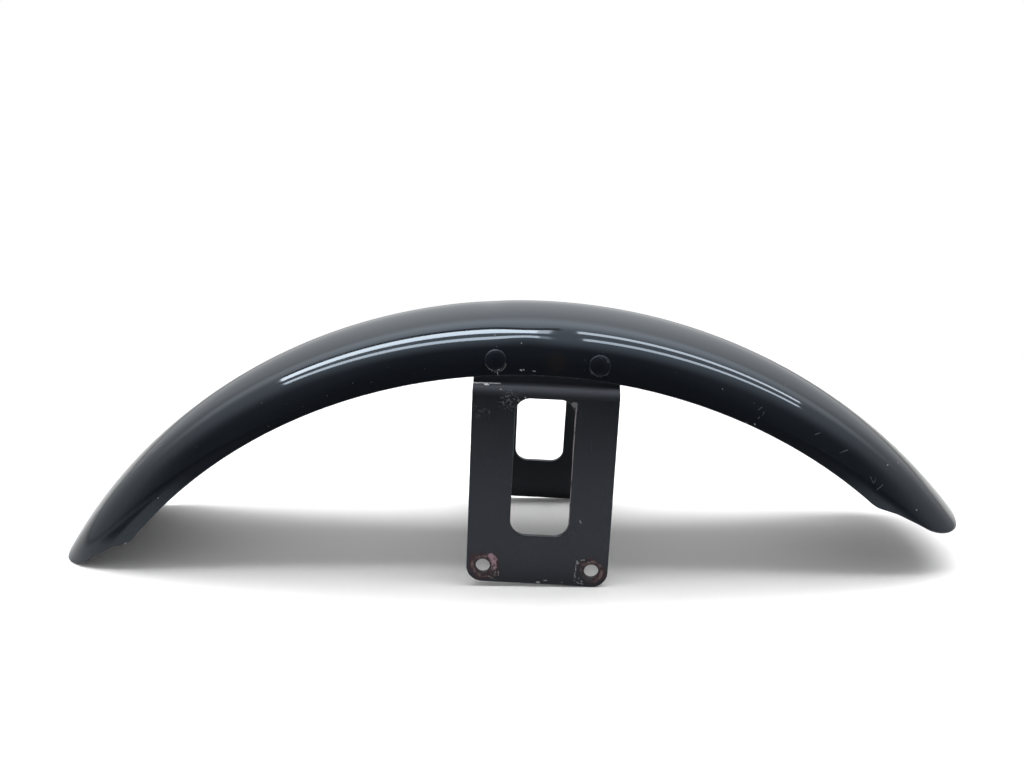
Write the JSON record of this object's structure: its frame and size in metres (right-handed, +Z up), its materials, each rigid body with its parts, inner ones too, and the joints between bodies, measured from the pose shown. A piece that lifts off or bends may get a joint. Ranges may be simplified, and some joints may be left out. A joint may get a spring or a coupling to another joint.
{
  "type": "motorcycle front mudguard",
  "caption": "Arched black sheet-steel mudguard for a motorcycle's front wheel, riveted to a bridge bracket whose windowed side plates bolt between the fork legs.",
  "frame": {"origin": "middle of the box that holds the part, on the bench that it lies on", "axes": "+X to the front of the motorcycle, +Y to its left, +Z up; the part lies on its rear end and the front corners of its plates, as in the picture"},
  "size_m": [0.5616, 0.123, 0.1561],
  "materials": {
    "shell_paint": "gloss black paint, lightly scratched",
    "bracket_paint": "satin black paint, chipped at the bends and rusted round the bolt holes",
    "rivet_paint": "gloss black paint over the rivet heads, chipped at the rim"
  },
  "bodies": {
    "root": {"mudguard_shell": "shell_paint", "bridge_bracket": "bracket_paint", "rivet_right_front": "rivet_paint", "rivet_right_rear": "rivet_paint", "rivet_left_front": "rivet_paint", "rivet_left_rear": "rivet_paint"}
  },
  "joints": []
}
